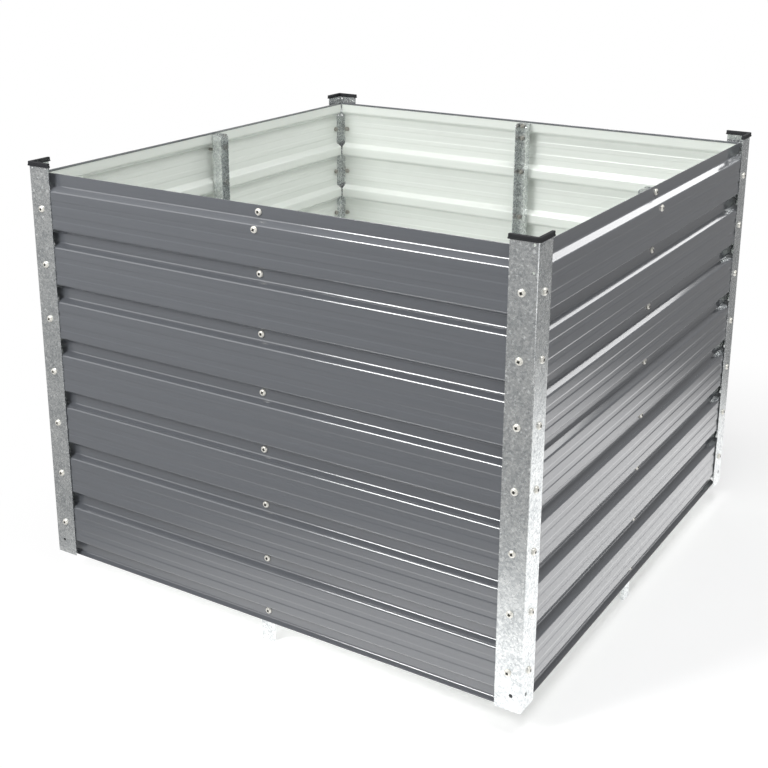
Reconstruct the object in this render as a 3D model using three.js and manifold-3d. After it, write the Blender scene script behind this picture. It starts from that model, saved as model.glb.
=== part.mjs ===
// A square raised garden bed: corrugated steel sides bolted to four angle posts, open top and bottom.
// Millimetres, +Z up. The origin is under the middle of the bed, level with the feet of the four stakes,
// and the front side faces -Y. Each side is two sheets, the upper one lapped over the lower one, with a
// channel stake down the middle of its inner face.

import Module from "manifold-3d";
import * as THREE from "three";
import { mergeVertices } from "three/addons/utils/BufferGeometryUtils.js";

// The whole bed
const BED_WIDTH = 1000; // over the posts, along X
const BED_DEPTH = 1000; // over the posts, along Y
const GROUND_REACH = 45; // from the stakes' feet up to the posts' lower ends
const FIT_GAP = 0.3; // air left between two pieces that touch

// Corrugated sheets: broad outer pans with narrow inward grooves between them
const SHEET_THICKNESS = 0.6;
const PITCH = 103.4; // one pan and one groove
const PAN_HEIGHT = 69.3;
const SLOPE_HEIGHT = 7.5;
const GROOVE_DEPTH = 13;
const BEAD_WIDTH = 12.2; // two shallow stiffening beads run along each pan
const BEAD_SPACING = 26.8;
const BEAD_DEPTH = 1;
const BEAD_FLANK = 3.5;
const LOWER_PANS = 3; // the upper sheet has all the others
const LOWEST_PAN = 67; // middle of the lowest pan above the posts' lower ends
const RIM_RISE = 13.2; // a sheet's top edge above the middle of its top groove
const HEM_HEIGHT = 4; // the upper sheet's top edge is folded flat against its inner face
const LIP_DROP = 4.9; // a sheet ends this far down the slope of its lowest groove
const CORNER_GAP = 1.2; // between one side's sheet ends and the inner face of the next side

// Corner posts: steel angle. They carry as many whole pans as fit below the clear length at their top.
const POST_HEIGHT = 770;
const POST_CLEAR_TOP = 15; // least length of post above the sheets' top edges
const POST_LEG = 46.5;
const POST_THICKNESS = 1.5;
const POST_BEND_RADIUS = 3;
const POST_BOLT_INSET = 24.4; // from the fold to the row of bolts
const SIGHT_HOLE_RADIUS = 2.2; // small holes beside the fold, near the top
const SIGHT_HOLE_INSET = 7.5;
const SIGHT_HOLE_DROPS = [10, 51]; // below the post's top
const PEG_HOLE_INSET = 18; // one spare bolt hole near the foot of each leg
const PEG_HOLE_RISE = 27;

// Corner caps: moulded plastic channel over the post's top edge
const CAP_WALL = 1.8;
const CAP_SKIRT = 5.5; // how far the cap reaches down the post
const CAP_LIP_HEIGHT = 2;
const CAP_LIP_FLARE = 0.7;
const CAP_EDGE_BEVEL = 0.6;

// Stakes: steel channel, web against the grooves and flanges towards the soil
const STAKE_WIDTH = 26;
const STAKE_FLANGE = 23;
const STAKE_THICKNESS = 1.2;
const STAKE_TOP_DROP = 5; // below the sheet's top edge
const STAKE_TOP_ROUND = 7;
const STAKE_HOLE_OFFSET = 5; // the row of holes is off the web's middle
const STAKE_TAPER_TOP = 15; // the flanges taper off from this far above the posts' lower ends
const STAKE_TAPER_HEIGHT = 40;
const STAKE_STUB_FLANGE = 6; // what is left of each flange at the foot
const STAKE_BOLT_RISE = 2; // the bolts sit this far above the middle of a groove

// Bolts and nuts: M6
const SHANK_RADIUS = 3;
const HOLE_RADIUS = 3.4;
const HEAD_RADIUS = 6;
const HEAD_CROWN_RADIUS = 4;
const HEAD_HEIGHT = 3.6;
const NUT_RADIUS = 5.5; // across the corners, halved
const NUT_HEIGHT = 5;

// Facets
const CORNER_STEPS = 3;
const BOLT_SIDES = 6; // of heads and nuts
const SHANK_SIDES = 4; // the shanks are out of sight in their holes
const HOLE_SIDES = 6;

const TRIM_MARGIN = 1; // how far a cutter runs past what it cuts

// Levels and planes that follow from the sizes above. Depths run inward from the posts' outer faces.
const FLOOR_HEIGHT = PITCH - PAN_HEIGHT - 2 * SLOPE_HEIGHT;
const PAN_PLANE = POST_THICKNESS + FIT_GAP;
const NEST_GAP = SHEET_THICKNESS + FIT_GAP;
const UPPER_FLOOR_PLANE = PAN_PLANE + GROOVE_DEPTH;
const LOWER_FLOOR_PLANE = UPPER_FLOOR_PLANE + NEST_GAP;
const INNER_PLANE = LOWER_FLOOR_PLANE + SHEET_THICKNESS;
const WEB_PLANE = INNER_PLANE + FIT_GAP;
const SHEET_END_INSET = INNER_PLANE + CORNER_GAP;
// The room for pans, from the middle of the lowest one to the middle of the groove above the highest one.
const PAN_ROOM = POST_HEIGHT - POST_CLEAR_TOP - RIM_RISE - LOWEST_PAN;
const PAN_COUNT = Math.floor(PAN_ROOM / PITCH + 0.5);
const UPPER_PANS = PAN_COUNT - LOWER_PANS;
const POST_TOP = GROUND_REACH + POST_HEIGHT;
const RIM_LEVEL = panLevel(PAN_COUNT - 0.5) + RIM_RISE;
const SLOPE_LENGTH = Math.hypot(SLOPE_HEIGHT, GROOVE_DEPTH);
// The lower sheet hangs this much lower, so that it clears the upper one on the slope as well.
const NEST_DROP = (NEST_GAP * (SLOPE_LENGTH - SLOPE_HEIGHT)) / GROOVE_DEPTH;

const wasm = await Module();
wasm.setup();

const FINISHES = {
  paint: { color: 0x6f7175, roughness: 0.32, metalness: 0.15 },
  zinc: { color: 0xb4b6b6, roughness: 0.42, metalness: 0.85 },
  plastic: { color: 0x35363a, roughness: 0.5, metalness: 0 },
  bolt: { color: 0xc4c2ba, roughness: 0.3, metalness: 0.9 },
};

// Level of the middle of a pan, counted from the lowest; halves are the grooves between pans.
function panLevel(pan) {
  return GROUND_REACH + LOWEST_PAN + pan * PITCH;
}

function toSolid(geometry) {
  const bare = geometry.clone();
  bare.deleteAttribute("normal");
  bare.deleteAttribute("uv");
  const merged = mergeVertices(bare, 1e-4);
  const corners = [];
  for (let i = 0; i < merged.index.count; i += 3) {
    const [a, b, c] = merged.index.array.slice(i, i + 3);
    if (a !== b && b !== c && c !== a) corners.push(a, b, c); // a revolve's poles leave empty triangles
  }
  const mesh = new wasm.Mesh({
    numProp: 3,
    vertProperties: new Float32Array(merged.attributes.position.array),
    triVerts: new Uint32Array(corners),
  });
  return new wasm.Manifold(mesh);
}

function toGeometry(solid) {
  const mesh = solid.getMesh();
  const geometry = new THREE.BufferGeometry();
  geometry.setAttribute("position", new THREE.BufferAttribute(mesh.vertProperties, 3));
  geometry.setIndex(new THREE.BufferAttribute(mesh.triVerts, 1));
  geometry.computeVertexNormals();
  return geometry;
}

function cut(solid, cutters) {
  return cutters.reduce((rest, cutter) => rest.subtract(toSolid(cutter)), solid);
}

function join(solid, additions) {
  return additions.reduce((whole, addition) => whole.add(toSolid(addition)), solid);
}

// An upright bar of one section, from one level to another.
function upright(shape, low, high) {
  const options = { depth: high - low, bevelEnabled: false, curveSegments: CORNER_STEPS };
  return new THREE.ExtrudeGeometry(shape, options).translate(0, 0, low);
}

// A bar along X whose section is drawn with depth to the right and height upward.
function alongX(shape, length) {
  const turn = new THREE.Matrix4().makeBasis(
    new THREE.Vector3(0, 1, 0),
    new THREE.Vector3(0, 0, 1),
    new THREE.Vector3(1, 0, 0),
  );
  const options = { depth: length, bevelEnabled: false, curveSegments: CORNER_STEPS };
  return new THREE.ExtrudeGeometry(shape, options).applyMatrix4(turn).translate(-length / 2, 0, 0);
}

// A prism along Y, from one depth to another, that cuts a hole in a wall facing Y. Its flats touch the
// hole's true circle.
function holeAlongY(x, z, near, far, radius = HOLE_RADIUS) {
  const cornerRadius = radius / Math.cos(Math.PI / HOLE_SIDES);
  const pin = new THREE.CylinderGeometry(cornerRadius, cornerRadius, far - near, HOLE_SIDES);
  return pin.translate(x, (near + far) / 2, z);
}

// ---------------------------------------------------------------------------------- sheets

// A line beside an open line, at a fixed distance to its left.
function beside(points, distance) {
  return points.map((point, index) => {
    const before = points[Math.max(index - 1, 0)];
    const after = points[Math.min(index + 1, points.length - 1)];
    const inward = index > 0 ? point.clone().sub(before).normalize() : null;
    const outward = index < points.length - 1 ? after.clone().sub(point).normalize() : null;
    const along = (inward ?? outward).clone().add(outward ?? inward).normalize();
    const normal = new THREE.Vector2(-along.y, along.x);
    const stretch = along.dot(inward ?? outward);
    return point.clone().addScaledVector(normal, distance / stretch);
  });
}

// The outer face of a sheet in section, from its rim down: x is the depth behind the pans, and y is
// the height above the middle of the sheet's lowest pan.
function sheetFace(panCount) {
  const line = [[GROOVE_DEPTH, (panCount - 0.5) * PITCH + RIM_RISE]];
  for (let pan = panCount - 1; pan >= 0; pan--) {
    const middle = pan * PITCH;
    line.push([GROOVE_DEPTH, middle + PAN_HEIGHT / 2 + SLOPE_HEIGHT]);
    line.push([0, middle + PAN_HEIGHT / 2]);
    for (const bead of [middle + BEAD_SPACING / 2, middle - BEAD_SPACING / 2]) {
      line.push([0, bead + BEAD_WIDTH / 2]);
      line.push([BEAD_DEPTH, bead + BEAD_WIDTH / 2 - BEAD_FLANK]);
      line.push([BEAD_DEPTH, bead - BEAD_WIDTH / 2 + BEAD_FLANK]);
      line.push([0, bead - BEAD_WIDTH / 2]);
    }
    line.push([0, middle - PAN_HEIGHT / 2]);
    line.push([GROOVE_DEPTH, middle - PAN_HEIGHT / 2 - SLOPE_HEIGHT]);
  }
  const floorEnd = -(PITCH + FLOOR_HEIGHT) / 2;
  line.push([GROOVE_DEPTH, floorEnd]);
  line.push([GROOVE_DEPTH * (1 - LIP_DROP / SLOPE_HEIGHT), floorEnd - LIP_DROP]);
  return line.map(([depth, height]) => new THREE.Vector2(depth, height));
}

function sheetSection(panCount, hemHeight) {
  const face = sheetFace(panCount);
  const back = beside(face, SHEET_THICKNESS);
  if (hemHeight > 0) {
    const rim = back[0];
    const fold = new THREE.Vector2(rim.x + SHEET_THICKNESS, rim.y);
    const foldEnd = new THREE.Vector2(fold.x, rim.y - hemHeight);
    back.splice(0, 1, fold, foldEnd, new THREE.Vector2(rim.x, foldEnd.y));
  }
  return new THREE.Shape([...face, ...back.reverse()]);
}

// A sheet with its bolt holes, standing in its side's frame. firstPan is its lowest pan's number.
function sheet(sideLength, firstPan, panCount, hemHeight, shift) {
  const length = sideLength - 2 * SHEET_END_INSET;
  const plane = PAN_PLANE + shift.depth;
  const section = sheetSection(panCount, hemHeight);
  const body = alongX(section, length).translate(0, plane, panLevel(firstPan) - shift.drop);
  const near = plane - FIT_GAP;
  const far = plane + GROOVE_DEPTH + 2 * SHEET_THICKNESS + FIT_GAP;
  const holes = [];
  for (let pan = firstPan; pan < firstPan + panCount; pan++) {
    for (const end of [-1, 1]) {
      const x = end * (sideLength / 2 - POST_BOLT_INSET);
      holes.push(holeAlongY(x, panLevel(pan), near, far));
    }
  }
  for (let groove = firstPan; groove <= firstPan + panCount; groove++) {
    holes.push(holeAlongY(0, grooveBoltLevel(groove), near, far));
  }
  if (firstPan + panCount === PAN_COUNT) holes.push(holeAlongY(0, panBoltLevel(), near, far));
  return toGeometry(cut(toSolid(body), holes));
}

// Level of the stake bolt in the groove below a pan.
function grooveBoltLevel(pan) {
  return panLevel(pan - 0.5) + STAKE_BOLT_RISE;
}

// The one stake bolt that goes through a pan: midway between the pan's upper bead and its top bend.
function panBoltLevel() {
  const beadEdge = (BEAD_SPACING + BEAD_WIDTH) / 2;
  return panLevel(PAN_COUNT - 1) + (beadEdge + PAN_HEIGHT / 2) / 2;
}

// ----------------------------------------------------------------------------------- posts

// The section of an angle whose outer faces lie on the X and Y axes, grown by a margin all round.
function angleSection(margin) {
  const end = POST_LEG + margin;
  const inner = POST_THICKNESS + margin;
  const outerRound = POST_BEND_RADIUS + margin;
  const innerRound = Math.max(POST_BEND_RADIUS - inner, 0);
  const shape = new THREE.Shape();
  shape.moveTo(end, -margin);
  shape.lineTo(end, inner);
  shape.lineTo(inner + innerRound, inner);
  if (innerRound > 0) {
    const centre = inner + innerRound;
    shape.absarc(centre, centre, innerRound, -Math.PI / 2, -Math.PI, true);
  }
  shape.lineTo(inner, end);
  shape.lineTo(-margin, end);
  shape.lineTo(-margin, outerRound - margin);
  const centre = outerRound - margin;
  shape.absarc(centre, centre, outerRound, Math.PI, 1.5 * Math.PI, false);
  return shape;
}

// Copies of a piece that points along +Y, one on each leg of a post: this far from the fold and this high.
function onBothLegs(piece, inset, level) {
  const acrossX = piece.clone().translate(inset, 0, level);
  const acrossY = piece.clone().rotateZ(-Math.PI / 2).translate(0, inset, level);
  return [acrossX, acrossY];
}

// The bolts through both legs, one at the middle of each pan.
function postBolts() {
  const bolts = [];
  for (let pan = 0; pan < PAN_COUNT; pan++) {
    const sheetPlane = PAN_PLANE + (pan < LOWER_PANS ? NEST_GAP : 0);
    for (const piece of boltPieces(0, sheetPlane + SHEET_THICKNESS + FIT_GAP)) {
      bolts.push(...onBothLegs(piece, POST_BOLT_INSET, panLevel(pan)));
    }
  }
  return bolts;
}

// The holes that stay open: two sight holes near the top of each leg and a peg hole near its foot.
function postHoles() {
  const far = POST_THICKNESS + FIT_GAP;
  const sightHole = holeAlongY(0, 0, -FIT_GAP, far, SIGHT_HOLE_RADIUS);
  const pegHole = holeAlongY(0, 0, -FIT_GAP, far);
  return [
    ...SIGHT_HOLE_DROPS.flatMap((drop) => onBothLegs(sightHole, SIGHT_HOLE_INSET, POST_TOP - drop)),
    ...onBothLegs(pegHole, PEG_HOLE_INSET, GROUND_REACH + PEG_HOLE_RISE),
  ];
}

// The post stands with its fold at the corner's origin and its legs along +X and +Y, and its bolts are
// one body with it.
function post() {
  const bar = toSolid(upright(angleSection(0), GROUND_REACH, POST_TOP));
  return toGeometry(join(cut(bar, postHoles()), postBolts()));
}

function cap() {
  const low = POST_TOP - CAP_SKIRT;
  const high = POST_TOP + FIT_GAP + CAP_WALL;
  const bevelled = {
    depth: high - low - 2 * CAP_EDGE_BEVEL,
    curveSegments: CORNER_STEPS,
    bevelSegments: 1,
    bevelThickness: CAP_EDGE_BEVEL,
    bevelSize: CAP_EDGE_BEVEL,
    bevelOffset: -CAP_EDGE_BEVEL,
  };
  const top = new THREE.ExtrudeGeometry(angleSection(FIT_GAP + CAP_WALL), bevelled);
  const lip = upright(angleSection(FIT_GAP + CAP_WALL + CAP_LIP_FLARE), low, low + CAP_LIP_HEIGHT);
  const slot = upright(angleSection(FIT_GAP), low - FIT_GAP, POST_TOP + FIT_GAP);
  const block = join(toSolid(top.translate(0, 0, low + CAP_EDGE_BEVEL)), [lip]);
  return toGeometry(cut(block, [slot]));
}

// ---------------------------------------------------------------------------------- stakes

function channelSection() {
  const half = STAKE_WIDTH / 2;
  const tip = WEB_PLANE + STAKE_FLANGE;
  const inner = WEB_PLANE + STAKE_THICKNESS;
  return new THREE.Shape([
    new THREE.Vector2(-half, WEB_PLANE),
    new THREE.Vector2(half, WEB_PLANE),
    new THREE.Vector2(half, tip),
    new THREE.Vector2(half - STAKE_THICKNESS, tip),
    new THREE.Vector2(half - STAKE_THICKNESS, inner),
    new THREE.Vector2(STAKE_THICKNESS - half, inner),
    new THREE.Vector2(STAKE_THICKNESS - half, tip),
    new THREE.Vector2(-half, tip),
  ]);
}

// What is cut off both flanges at the foot, seen from the side: depth to the right, height upward.
function footCut() {
  const tip = WEB_PLANE + STAKE_FLANGE;
  const taperTop = GROUND_REACH + STAKE_TAPER_TOP;
  const stub = WEB_PLANE + STAKE_STUB_FLANGE;
  return new THREE.Shape([
    new THREE.Vector2(stub, -TRIM_MARGIN),
    new THREE.Vector2(tip + TRIM_MARGIN, -TRIM_MARGIN),
    new THREE.Vector2(tip + TRIM_MARGIN, taperTop),
    new THREE.Vector2(tip, taperTop),
    new THREE.Vector2(stub, taperTop - STAKE_TAPER_HEIGHT),
  ]);
}

// The rounding of both flanges' top corners.
function topCut(stakeTop) {
  const tip = WEB_PLANE + STAKE_FLANGE;
  const shape = new THREE.Shape();
  shape.moveTo(tip, stakeTop - STAKE_TOP_ROUND);
  shape.lineTo(tip + TRIM_MARGIN, stakeTop - STAKE_TOP_ROUND);
  shape.lineTo(tip + TRIM_MARGIN, stakeTop + TRIM_MARGIN);
  shape.lineTo(tip - STAKE_TOP_ROUND, stakeTop + TRIM_MARGIN);
  shape.lineTo(tip - STAKE_TOP_ROUND, stakeTop);
  const centre = [tip - STAKE_TOP_ROUND, stakeTop - STAKE_TOP_ROUND];
  shape.absarc(...centre, STAKE_TOP_ROUND, Math.PI / 2, 0, true);
  return shape;
}

function stake() {
  const stakeTop = RIM_LEVEL - STAKE_TOP_DROP;
  const bar = toSolid(upright(channelSection(), 0, stakeTop));
  const acrossFlanges = STAKE_WIDTH + 2 * FIT_GAP;
  const trims = [footCut(), topCut(stakeTop)].map((shape) => alongX(shape, acrossFlanges));
  const levels = [panBoltLevel()];
  for (let groove = 0; groove <= PAN_COUNT; groove++) levels.push(grooveBoltLevel(groove));
  const far = WEB_PLANE + STAKE_THICKNESS + FIT_GAP;
  const holes = levels.map((z) => holeAlongY(STAKE_HOLE_OFFSET, z, WEB_PLANE - FIT_GAP, far));
  return toGeometry(cut(bar, [...trims, ...holes]).translate([-STAKE_HOLE_OFFSET, 0, 0]));
}

// ----------------------------------------------------------------------------------- bolts

// A solid turned about the Y axis: its radius at each depth, from one end to the other.
function turned(profile, sides) {
  const points = profile.map(([radius, depth]) => new THREE.Vector2(radius, depth));
  return new THREE.LatheGeometry(points, sides);
}

// A pan head, a nut, and the shank that runs from inside the one into the other, all along +Y.
function boltPieces(headPlane, nutPlane) {
  const crown = headPlane - HEAD_HEIGHT;
  const nutEnd = nutPlane + NUT_HEIGHT;
  const start = headPlane - HEAD_HEIGHT / 2;
  const end = nutPlane + NUT_HEIGHT / 2;
  return [
    turned([[0, crown], [HEAD_CROWN_RADIUS, crown], [HEAD_RADIUS, headPlane], [0, headPlane]], BOLT_SIDES),
    turned([[0, start], [SHANK_RADIUS, start], [SHANK_RADIUS, end], [0, end]], SHANK_SIDES),
    turned([[0, nutPlane], [NUT_RADIUS, nutPlane], [NUT_RADIUS, nutEnd], [0, nutEnd]], BOLT_SIDES),
  ];
}

function bolt(headPlane, nutPlane) {
  const [head, ...others] = boltPieces(headPlane, nutPlane);
  return toGeometry(join(toSolid(head), others));
}

// The stake's bolts from the foot up, each with the depth of the sheet face under its head.
function stakeBolts() {
  const rows = [];
  for (let groove = 0; groove <= PAN_COUNT; groove++) {
    const face = groove < LOWER_PANS ? LOWER_FLOOR_PLANE : UPPER_FLOOR_PLANE;
    rows.push({ name: `groove_bolt_${groove + 1}`, face, level: grooveBoltLevel(groove) });
  }
  rows.push({ name: "pan_bolt", face: PAN_PLANE, level: panBoltLevel() });
  return rows;
}

// -------------------------------------------------------------------------------- assembly

function named(name, geometry, finish) {
  const mesh = new THREE.Mesh(geometry, new THREE.MeshStandardMaterial(FINISHES[finish]));
  mesh.name = name;
  return mesh;
}

// A side's frame: X along the side, Y inward from the posts' outer faces.
function side(name, sideLength) {
  const group = new THREE.Group();
  const nested = { depth: NEST_GAP, drop: NEST_DROP };
  const flush = { depth: 0, drop: 0 };
  const upper = sheet(sideLength, LOWER_PANS, UPPER_PANS, HEM_HEIGHT, flush);
  const lower = sheet(sideLength, 0, LOWER_PANS, 0, nested);
  group.add(named(`${name}_upper_sheet`, upper, "paint"));
  group.add(named(`${name}_lower_sheet`, lower, "paint"));
  group.add(named(`${name}_stake`, stake(), "zinc"));
  const nutPlane = WEB_PLANE + STAKE_THICKNESS + FIT_GAP;
  for (const { name: boltName, face, level } of stakeBolts()) {
    const mesh = named(`${name}_${boltName}`, bolt(face - FIT_GAP, nutPlane), "bolt");
    mesh.position.z = level;
    group.add(mesh);
  }
  return group;
}

function corner(name) {
  const group = new THREE.Group();
  group.add(named(`${name}_post`, post(), "zinc"));
  group.add(named(`${name}_cap`, cap(), "plastic"));
  return group;
}

function place(group, x, y, quarterTurns) {
  group.position.set(x, y, 0);
  group.rotation.z = (quarterTurns * Math.PI) / 2;
  return group;
}

const bed = new THREE.Group();
bed.add(place(side("front", BED_WIDTH), 0, -BED_DEPTH / 2, 0));
bed.add(place(side("right", BED_DEPTH), BED_WIDTH / 2, 0, 1));
bed.add(place(side("back", BED_WIDTH), 0, BED_DEPTH / 2, 2));
bed.add(place(side("left", BED_DEPTH), -BED_WIDTH / 2, 0, 3));
bed.add(place(corner("front_left"), -BED_WIDTH / 2, -BED_DEPTH / 2, 0));
bed.add(place(corner("front_right"), BED_WIDTH / 2, -BED_DEPTH / 2, 1));
bed.add(place(corner("back_right"), BED_WIDTH / 2, BED_DEPTH / 2, 2));
bed.add(place(corner("back_left"), -BED_WIDTH / 2, BED_DEPTH / 2, 3));

export default bed;
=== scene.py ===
"""The looks of a square raised garden bed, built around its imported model.

The bed has corrugated painted sides on galvanised angle posts, with a channel stake inside each side.
Lengths are in metres and in the model's own frame: +Z is up and the front side faces -Y. Every side is
made as if it were the front one, and every corner as if it were the front left one, and then turned.
"""

from __future__ import annotations

import logging
import math
from collections.abc import Sequence
from dataclasses import dataclass, field
from enum import Enum

import bmesh
import bpy
from mathutils import Matrix, Vector

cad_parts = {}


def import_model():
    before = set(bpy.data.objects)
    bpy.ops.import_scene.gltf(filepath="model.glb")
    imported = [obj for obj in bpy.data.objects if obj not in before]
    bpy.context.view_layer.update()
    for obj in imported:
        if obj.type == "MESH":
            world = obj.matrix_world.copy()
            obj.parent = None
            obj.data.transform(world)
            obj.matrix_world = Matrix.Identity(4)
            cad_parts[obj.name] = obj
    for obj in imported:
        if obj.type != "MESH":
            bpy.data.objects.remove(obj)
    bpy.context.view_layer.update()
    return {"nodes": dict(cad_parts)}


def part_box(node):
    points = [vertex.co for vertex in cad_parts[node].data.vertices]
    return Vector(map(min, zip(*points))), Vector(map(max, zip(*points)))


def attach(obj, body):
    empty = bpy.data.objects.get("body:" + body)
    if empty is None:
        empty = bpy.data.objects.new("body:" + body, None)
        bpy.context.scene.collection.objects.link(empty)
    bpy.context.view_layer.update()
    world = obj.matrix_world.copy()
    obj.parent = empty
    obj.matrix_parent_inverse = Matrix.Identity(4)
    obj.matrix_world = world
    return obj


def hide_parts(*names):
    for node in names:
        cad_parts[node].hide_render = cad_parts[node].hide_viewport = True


LOG = logging.getLogger("raised_bed")
MM = 0.001
BODY = "root"
FRAME_PIXELS = 768
QUARTER_TURN = math.pi / 2
SHARP_ANGLE = math.radians(32)
GOLDEN_ANGLE = math.pi * (3 - math.sqrt(5))  # from one bolt's recess to the next one's
TOUCHING = 1e-6  # points nearer than this, in metres, are one
PARALLEL = 0.999  # the cosine from which two directions are the same
ALONG = Vector((1, 0, 0))
OUT = Vector((0, -1, 0))
UP = Vector((0, 0, 1))


class Side(Enum):
    """A side of the bed, by the quarter turns that bring the front side to it."""

    FRONT = 0
    RIGHT = 1
    BACK = 2
    LEFT = 3


class Corner(Enum):
    """A corner of the bed, by the quarter turns that bring the front left corner to it."""

    FRONT_LEFT = 0
    FRONT_RIGHT = 1
    BACK_RIGHT = 2
    BACK_LEFT = 3


class Slot(Enum):
    """Names of the bed's material slots."""

    PAINT = "sheet_paint"
    ZINC = "zinc"
    PLASTIC = "cap_plastic"
    BOLT = "bolt_zinc"


# ---- materials


def linear(hex_colour: str) -> tuple[float, float, float, float]:
    """Turns an sRGB hex colour to linear light.

    Args:
        hex_colour: Six hex digits after a hash.

    Returns:
        Linear red, green and blue, and an alpha of 1.
    """
    parts = (int(hex_colour[k : k + 2], 16) / 255 for k in (1, 3, 5))
    red, green, blue = (p / 12.92 if p <= 0.04045 else ((p + 0.055) / 1.055) ** 2.4 for p in parts)
    return red, green, blue, 1.0


def add_node(
    tree: bpy.types.NodeTree,
    kind: str,
    inputs: dict[str | int, object] | None = None,
    **settings: object,
) -> bpy.types.Node:
    """Adds a node with its settings and links.

    Args:
        tree: The node tree that gets the node.
        kind: Blender's name for the node's type.
        inputs: A value, or another node's output to link from, for each input.
        **settings: Values of the node's own properties.

    Returns:
        The new node.
    """
    node = tree.nodes.new(kind)
    for name, value in settings.items():
        setattr(node, name, value)
    for key, value in (inputs or {}).items():
        if isinstance(value, bpy.types.NodeSocket):
            tree.links.new(value, node.inputs[key])
        else:
            node.inputs[key].default_value = value
    return node


def new_material(name: str) -> tuple[bpy.types.Material, bpy.types.NodeTree]:
    """Starts a material with an empty node tree.

    Args:
        name: The material's name.

    Returns:
        The material and its node tree.
    """
    material = bpy.data.materials.new(name)
    material.use_nodes = True
    material.node_tree.nodes.clear()
    return material, material.node_tree


def per_metre(size_mm: float) -> float:
    """The scale of a noise or cell texture whose features are this many millimetres wide."""
    return 1 / (size_mm * MM)


@dataclass(frozen=True)
class Finish:
    """A surface whose colour wanders between a light and a dark tone."""

    name: str
    light: str
    dark: str

    def tone(
        self, tree: bpy.types.NodeTree, amount: bpy.types.NodeSocket, low: float, high: float
    ) -> bpy.types.NodeSocket:
        """Blends the two tones.

        Args:
            tree: The material's nodes.
            amount: What decides between them.
            low: The amount at which the dark tone is reached.
            high: The amount at which the light tone is reached.

        Returns:
            The colour.
        """
        ramp = add_node(tree, "ShaderNodeValToRGB", {"Fac": amount})
        first, last = ramp.color_ramp.elements
        first.position, last.position = low, high
        first.color, last.color = linear(self.dark), linear(self.light)
        return ramp.outputs["Color"]


@dataclass(frozen=True)
class CoilCoating(Finish):
    """Polyester coil coating, rolled on flat steel before the sheet is formed.

    The roller leaves faint streaks along the sheet, and the forming rolls leave a little waviness that
    bends the reflections. The film's top is smooth and clear, so it shows crisp lines of light in the
    bends over the softer sheen of the pigment below.
    """

    roughness: float
    film_roughness: float
    film_ior: float = 1.9  # above a real film's 1.5, matched to how strongly the sides mirror the floor
    pigment_ior: float = 1.5
    pigment_gloss: float = 0.3
    tone_low: float = 0.25
    tone_high: float = 0.75
    streak_height_mm: float = 5.0
    streak_length_mm: float = 900.0
    wave_size_mm: float = 160.0
    wave_depth_mm: float = 0.1
    peel_size_mm: float = 2.5  # orange peel is about 1 mm across, drawn coarser so that it shows
    peel_depth_mm: float = 0.004

    def build(self) -> bpy.types.Material:
        """Makes the material.

        Returns:
            The material.
        """
        material, tree = new_material(self.name)
        place = add_node(tree, "ShaderNodeTexCoord").outputs["Object"]
        along = per_metre(self.streak_length_mm)
        stretch = (along, along, per_metre(self.streak_height_mm))
        stretched = add_node(tree, "ShaderNodeMapping", {"Vector": place, "Scale": stretch})
        streaks = add_node(
            tree,
            "ShaderNodeTexNoise",
            {"Vector": stretched.outputs["Vector"], "Scale": 1.0, "Detail": 4.0, "Roughness": 0.6},
        )
        waves = add_node(
            tree,
            "ShaderNodeTexNoise",
            {"Vector": place, "Scale": per_metre(self.wave_size_mm), "Detail": 1.0},
        )
        peel = add_node(
            tree,
            "ShaderNodeTexNoise",
            {"Vector": place, "Scale": per_metre(self.peel_size_mm), "Detail": 1.0},
        )
        wavy = add_node(
            tree,
            "ShaderNodeBump",
            {"Height": waves.outputs["Fac"], "Distance": self.wave_depth_mm * MM},
        )
        rippled = add_node(
            tree,
            "ShaderNodeBump",
            {
                "Height": peel.outputs["Fac"],
                "Distance": self.peel_depth_mm * MM,
                "Normal": wavy.outputs["Normal"],
            },
        )
        shader = add_node(
            tree,
            "ShaderNodeBsdfPrincipled",
            {
                "Base Color": self.tone(tree, streaks.outputs["Fac"], self.tone_low, self.tone_high),
                "Roughness": self.roughness,
                "Normal": rippled.outputs["Normal"],
                "Metallic": 0.0,
                "IOR": self.pigment_ior,
                "Specular IOR Level": self.pigment_gloss,
                "Coat Weight": 1.0,
                "Coat Roughness": self.film_roughness,
                "Coat IOR": self.film_ior,
                "Coat Normal": rippled.outputs["Normal"],
            },
        )
        add_node(tree, "ShaderNodeOutputMaterial", {"Surface": shader.outputs["BSDF"]})
        return material


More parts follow.
